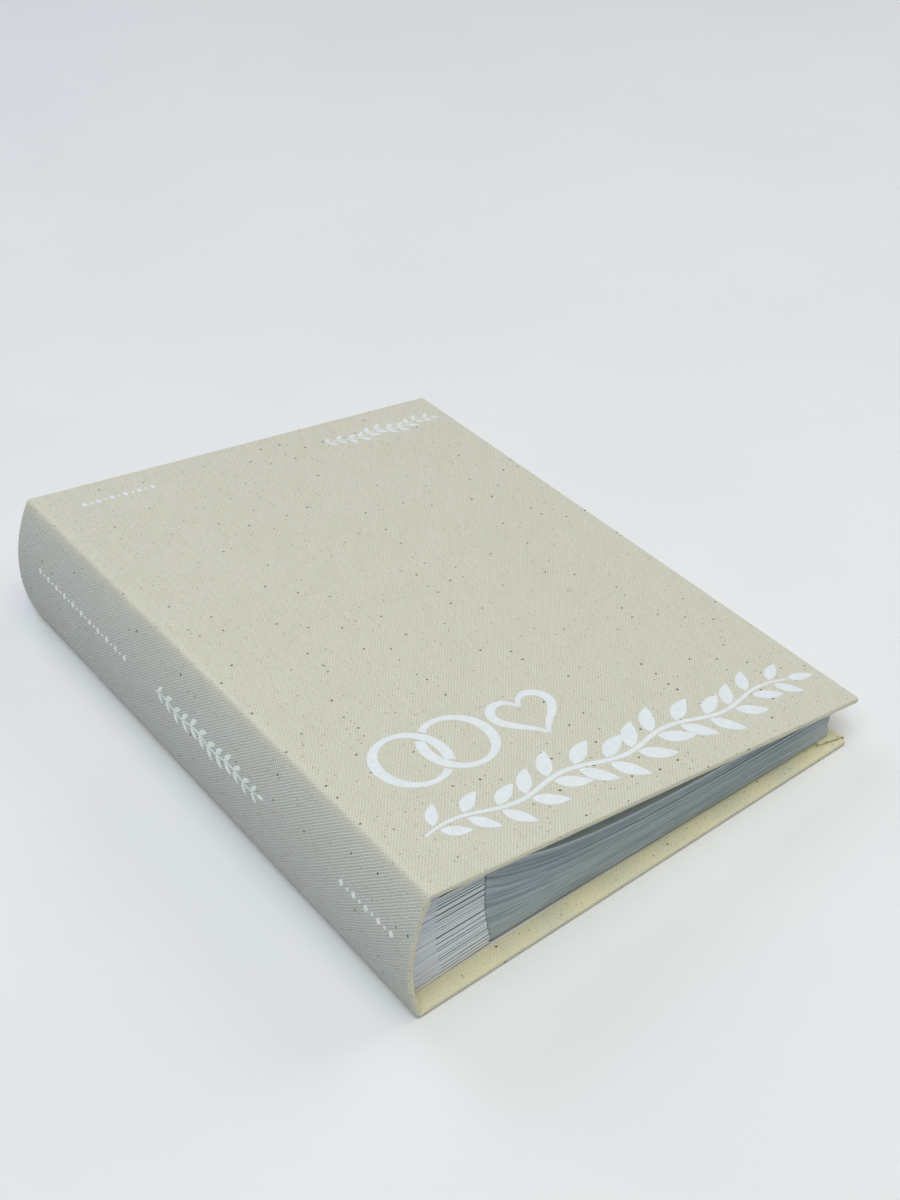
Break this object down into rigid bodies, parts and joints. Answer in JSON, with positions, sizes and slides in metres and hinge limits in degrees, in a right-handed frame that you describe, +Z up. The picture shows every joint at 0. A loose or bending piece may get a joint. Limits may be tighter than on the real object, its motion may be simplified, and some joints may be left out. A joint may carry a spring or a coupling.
{
  "type": "wedding guest book",
  "caption": "Case-bound wedding guest book with a rounded spine, cloth covers and a wedge-shaped block of slip-in pocket leaves that fan out as the covers open.",
  "frame": {"origin": "middle of the book's footprint, on the plane that the back cover lies on", "axes": "+X from the spine to the fore-edge, +Y from the tail to the head (the book's longest side), +Z up through the book's thickness"},
  "size_m": [0.2542, 0.33, 0.0663],
  "materials": {
    "book_cloth": "matte",
    "white_print": "matte",
    "greyboard": "matte",
    "endpaper": "matte",
    "spine_lining": "matte",
    "stub_card": "satin",
    "pocket_film": "gloss"
  },
  "bodies": {
    "back_cover": {"back_board": "greyboard", "back_cloth": "book_cloth", "back_endpaper": "endpaper"},
    "spine": {"spine_board": "greyboard", "spine_cloth": "book_cloth", "spine_lining": "spine_lining", "binding_block": "stub_card"},
    "front_cover": {"front_board": "greyboard", "front_cloth": "book_cloth", "front_endpaper": "endpaper"},
    "leaf_01": {"leaf_01": "pocket_film"},
    "leaf_02": {"leaf_02": "pocket_film"},
    "leaf_03": {"leaf_03": "pocket_film"},
    "leaf_04": {"leaf_04": "pocket_film"},
    "leaf_05": {"leaf_05": "pocket_film"},
    "leaf_06": {"leaf_06": "pocket_film"},
    "leaf_07": {"leaf_07": "pocket_film"},
    "leaf_08": {"leaf_08": "pocket_film"},
    "leaf_09": {"leaf_09": "pocket_film"},
    "leaf_10": {"leaf_10": "pocket_film"},
    "leaf_11": {"leaf_11": "pocket_film"},
    "leaf_12": {"leaf_12": "pocket_film"},
    "leaf_13": {"leaf_13": "pocket_film"},
    "leaf_14": {"leaf_14": "pocket_film"},
    "leaf_15": {"leaf_15": "pocket_film"},
    "leaf_16": {"leaf_16": "pocket_film"},
    "leaf_17": {"leaf_17": "pocket_film"},
    "leaf_18": {"leaf_18": "pocket_film"},
    "leaf_19": {"leaf_19": "pocket_film"},
    "leaf_20": {"leaf_20": "pocket_film"},
    "leaf_21": {"leaf_21": "pocket_film"},
    "leaf_22": {"leaf_22": "pocket_film"},
    "leaf_23": {"leaf_23": "pocket_film"},
    "leaf_24": {"leaf_24": "pocket_film"},
    "leaf_25": {"leaf_25": "pocket_film"},
    "leaf_26": {"leaf_26": "pocket_film"},
    "leaf_27": {"leaf_27": "pocket_film"},
    "leaf_28": {"leaf_28": "pocket_film"},
    "leaf_29": {"leaf_29": "pocket_film"},
    "leaf_30": {"leaf_30": "pocket_film"},
    "leaf_31": {"leaf_31": "pocket_film"},
    "leaf_32": {"leaf_32": "pocket_film"},
    "leaf_33": {"leaf_33": "pocket_film"},
    "leaf_34": {"leaf_34": "pocket_film"}
  },
  "joints": [
    {"name": "back_joint", "type": "hinge", "parent": "back_cover", "child": "spine", "pos_m": [-0.12321, 0, 0], "axis": [0, -1, 0], "range_deg": [0, 70]},
    {"name": "front_joint", "type": "hinge", "parent": "spine", "child": "front_cover", "pos_m": [-0.11471, 0, 0.067], "axis": [0, -1, 0], "range_deg": [0, 126.5]},
    {"name": "leaf_01_hinge", "type": "hinge", "parent": "spine", "child": "leaf_01", "pos_m": [-0.07916, 0, 0.00675], "axis": [0, -1, 0], "range_deg": [-59.51, 0]},
    {"name": "leaf_02_hinge", "type": "hinge", "parent": "spine", "child": "leaf_02", "pos_m": [-0.07943, 0, 0.00824], "axis": [0, -1, 0], "range_deg": [-56.01, 0]},
    {"name": "leaf_03_hinge", "type": "hinge", "parent": "spine", "child": "leaf_03", "pos_m": [-0.07969, 0, 0.00974], "axis": [0, -1, 0], "range_deg": [-52.51, 0]},
    {"name": "leaf_04_hinge", "type": "hinge", "parent": "spine", "child": "leaf_04", "pos_m": [-0.07993, 0, 0.01124], "axis": [0, -1, 0], "range_deg": [-49.02, 0]},
    {"name": "leaf_05_hinge", "type": "hinge", "parent": "spine", "child": "leaf_05", "pos_m": [-0.08016, 0, 0.01275], "axis": [0, -1, 0], "range_deg": [-45.51, 0]},
    {"name": "leaf_06_hinge", "type": "hinge", "parent": "spine", "child": "leaf_06", "pos_m": [-0.08037, 0, 0.01426], "axis": [0, -1, 0], "range_deg": [-42.01, 0]},
    {"name": "leaf_07_hinge", "type": "hinge", "parent": "spine", "child": "leaf_07", "pos_m": [-0.08056, 0, 0.01577], "axis": [0, -1, 0], "range_deg": [-38.51, 0]},
    {"name": "leaf_08_hinge", "type": "hinge", "parent": "spine", "child": "leaf_08", "pos_m": [-0.08073, 0, 0.01728], "axis": [0, -1, 0], "range_deg": [-35.01, 0]},
    {"name": "leaf_09_hinge", "type": "hinge", "parent": "spine", "child": "leaf_09", "pos_m": [-0.08088, 0, 0.0188], "axis": [0, -1, 0], "range_deg": [-31.51, 0]},
    {"name": "leaf_10_hinge", "type": "hinge", "parent": "spine", "child": "leaf_10", "pos_m": [-0.08102, 0, 0.02032], "axis": [0, -1, 0], "range_deg": [-28.01, 0]},
    {"name": "leaf_11_hinge", "type": "hinge", "parent": "spine", "child": "leaf_11", "pos_m": [-0.08114, 0, 0.02184], "axis": [0, -1, 0], "range_deg": [-24.52, 0]},
    {"name": "leaf_12_hinge", "type": "hinge", "parent": "spine", "child": "leaf_12", "pos_m": [-0.08125, 0, 0.02336], "axis": [0, -1, 0], "range_deg": [-21.01, 0]},
    {"name": "leaf_13_hinge", "type": "hinge", "parent": "spine", "child": "leaf_13", "pos_m": [-0.08134, 0, 0.02488], "axis": [0, -1, 0], "range_deg": [-17.51, 0]},
    {"name": "leaf_14_hinge", "type": "hinge", "parent": "spine", "child": "leaf_14", "pos_m": [-0.0814, 0, 0.02641], "axis": [0, -1, 0], "range_deg": [-14.01, 0]},
    {"name": "leaf_15_hinge", "type": "hinge", "parent": "spine", "child": "leaf_15", "pos_m": [-0.08146, 0, 0.02793], "axis": [0, -1, 0], "range_deg": [-10.51, 0]},
    {"name": "leaf_16_hinge", "type": "hinge", "parent": "spine", "child": "leaf_16", "pos_m": [-0.08149, 0, 0.02945], "axis": [0, -1, 0], "range_deg": [-7.01, 0]},
    {"name": "leaf_17_hinge", "type": "hinge", "parent": "spine", "child": "leaf_17", "pos_m": [-0.08151, 0, 0.03097], "axis": [0, -1, 0], "range_deg": [-3.51, 0]},
    {"name": "leaf_18_hinge", "type": "hinge", "parent": "spine", "child": "leaf_18", "pos_m": [-0.08151, 0, 0.03249], "axis": [0, -1, 0], "range_deg": [0, 4.78]},
    {"name": "leaf_19_hinge", "type": "hinge", "parent": "spine", "child": "leaf_19", "pos_m": [-0.08149, 0, 0.03401], "axis": [0, -1, 0], "range_deg": [0, 9.54]},
    {"name": "leaf_20_hinge", "type": "hinge", "parent": "spine", "child": "leaf_20", "pos_m": [-0.08146, 0, 0.03553], "axis": [0, -1, 0], "range_deg": [0, 14.3]},
    {"name": "leaf_21_hinge", "type": "hinge", "parent": "spine", "child": "leaf_21", "pos_m": [-0.0814, 0, 0.03705], "axis": [0, -1, 0], "range_deg": [0, 19.06]},
    {"name": "leaf_22_hinge", "type": "hinge", "parent": "spine", "child": "leaf_22", "pos_m": [-0.08134, 0, 0.03856], "axis": [0, -1, 0], "range_deg": [0, 23.83]},
    {"name": "leaf_23_hinge", "type": "hinge", "parent": "spine", "child": "leaf_23", "pos_m": [-0.08125, 0, 0.04007], "axis": [0, -1, 0], "range_deg": [0, 28.59]},
    {"name": "leaf_24_hinge", "type": "hinge", "parent": "spine", "child": "leaf_24", "pos_m": [-0.08114, 0, 0.04158], "axis": [0, -1, 0], "range_deg": [0, 33.35]},
    {"name": "leaf_25_hinge", "type": "hinge", "parent": "spine", "child": "leaf_25", "pos_m": [-0.08102, 0, 0.04309], "axis": [0, -1, 0], "range_deg": [0, 38.11]},
    {"name": "leaf_26_hinge", "type": "hinge", "parent": "spine", "child": "leaf_26", "pos_m": [-0.08088, 0, 0.04459], "axis": [0, -1, 0], "range_deg": [0, 42.88]},
    {"name": "leaf_27_hinge", "type": "hinge", "parent": "spine", "child": "leaf_27", "pos_m": [-0.08073, 0, 0.04609], "axis": [0, -1, 0], "range_deg": [0, 47.64]},
    {"name": "leaf_28_hinge", "type": "hinge", "parent": "spine", "child": "leaf_28", "pos_m": [-0.08056, 0, 0.04759], "axis": [0, -1, 0], "range_deg": [0, 52.4]},
    {"name": "leaf_29_hinge", "type": "hinge", "parent": "spine", "child": "leaf_29", "pos_m": [-0.08037, 0, 0.04907], "axis": [0, -1, 0], "range_deg": [0, 57.16]},
    {"name": "leaf_30_hinge", "type": "hinge", "parent": "spine", "child": "leaf_30", "pos_m": [-0.08016, 0, 0.05056], "axis": [0, -1, 0], "range_deg": [0, 61.93]},
    {"name": "leaf_31_hinge", "type": "hinge", "parent": "spine", "child": "leaf_31", "pos_m": [-0.07993, 0, 0.05204], "axis": [0, -1, 0], "range_deg": [0, 66.69]},
    {"name": "leaf_32_hinge", "type": "hinge", "parent": "spine", "child": "leaf_32", "pos_m": [-0.07969, 0, 0.05351], "axis": [0, -1, 0], "range_deg": [0, 71.45]},
    {"name": "leaf_33_hinge", "type": "hinge", "parent": "spine", "child": "leaf_33", "pos_m": [-0.07943, 0, 0.05498], "axis": [0, -1, 0], "range_deg": [0, 76.21]},
    {"name": "leaf_34_hinge", "type": "hinge", "parent": "spine", "child": "leaf_34", "pos_m": [-0.07916, 0, 0.05644], "axis": [0, -1, 0], "range_deg": [0, 80.98]}
  ],
  "couplings": [
    {"joint": "leaf_01_hinge", "follows": "back_joint", "ratio": -0.85},
    {"joint": "leaf_02_hinge", "follows": "back_joint", "ratio": -0.8},
    {"joint": "leaf_03_hinge", "follows": "back_joint", "ratio": -0.75},
    {"joint": "leaf_04_hinge", "follows": "back_joint", "ratio": -0.7},
    {"joint": "leaf_05_hinge", "follows": "back_joint", "ratio": -0.65},
    {"joint": "leaf_06_hinge", "follows": "back_joint", "ratio": -0.6},
    {"joint": "leaf_07_hinge", "follows": "back_joint", "ratio": -0.55},
    {"joint": "leaf_08_hinge", "follows": "back_joint", "ratio": -0.5},
    {"joint": "leaf_09_hinge", "follows": "back_joint", "ratio": -0.45},
    {"joint": "leaf_10_hinge", "follows": "back_joint", "ratio": -0.4},
    {"joint": "leaf_11_hinge", "follows": "back_joint", "ratio": -0.35},
    {"joint": "leaf_12_hinge", "follows": "back_joint", "ratio": -0.3},
    {"joint": "leaf_13_hinge", "follows": "back_joint", "ratio": -0.25},
    {"joint": "leaf_14_hinge", "follows": "back_joint", "ratio": -0.2},
    {"joint": "leaf_15_hinge", "follows": "back_joint", "ratio": -0.15},
    {"joint": "leaf_16_hinge", "follows": "back_joint", "ratio": -0.1},
    {"joint": "leaf_17_hinge", "follows": "back_joint", "ratio": -0.05},
    {"joint": "leaf_18_hinge", "follows": "front_joint", "ratio": 0.0376},
    {"joint": "leaf_19_hinge", "follows": "front_joint", "ratio": 0.0753},
    {"joint": "leaf_20_hinge", "follows": "front_joint", "ratio": 0.1129},
    {"joint": "leaf_21_hinge", "follows": "front_joint", "ratio": 0.1506},
    {"joint": "leaf_22_hinge", "follows": "front_joint", "ratio": 0.1882},
    {"joint": "leaf_23_hinge", "follows": "front_joint", "ratio": 0.2259},
    {"joint": "leaf_24_hinge", "follows": "front_joint", "ratio": 0.2635},
    {"joint": "leaf_25_hinge", "follows": "front_joint", "ratio": 0.3012},
    {"joint": "leaf_26_hinge", "follows": "front_joint", "ratio": 0.3388},
    {"joint": "leaf_27_hinge", "follows": "front_joint", "ratio": 0.3765},
    {"joint": "leaf_28_hinge", "follows": "front_joint", "ratio": 0.4141},
    {"joint": "leaf_29_hinge", "follows": "front_joint", "ratio": 0.4518},
    {"joint": "leaf_30_hinge", "follows": "front_joint", "ratio": 0.4894},
    {"joint": "leaf_31_hinge", "follows": "front_joint", "ratio": 0.5271},
    {"joint": "leaf_32_hinge", "follows": "front_joint", "ratio": 0.5647},
    {"joint": "leaf_33_hinge", "follows": "front_joint", "ratio": 0.6024},
    {"joint": "leaf_34_hinge", "follows": "front_joint", "ratio": 0.64}
  ]
}
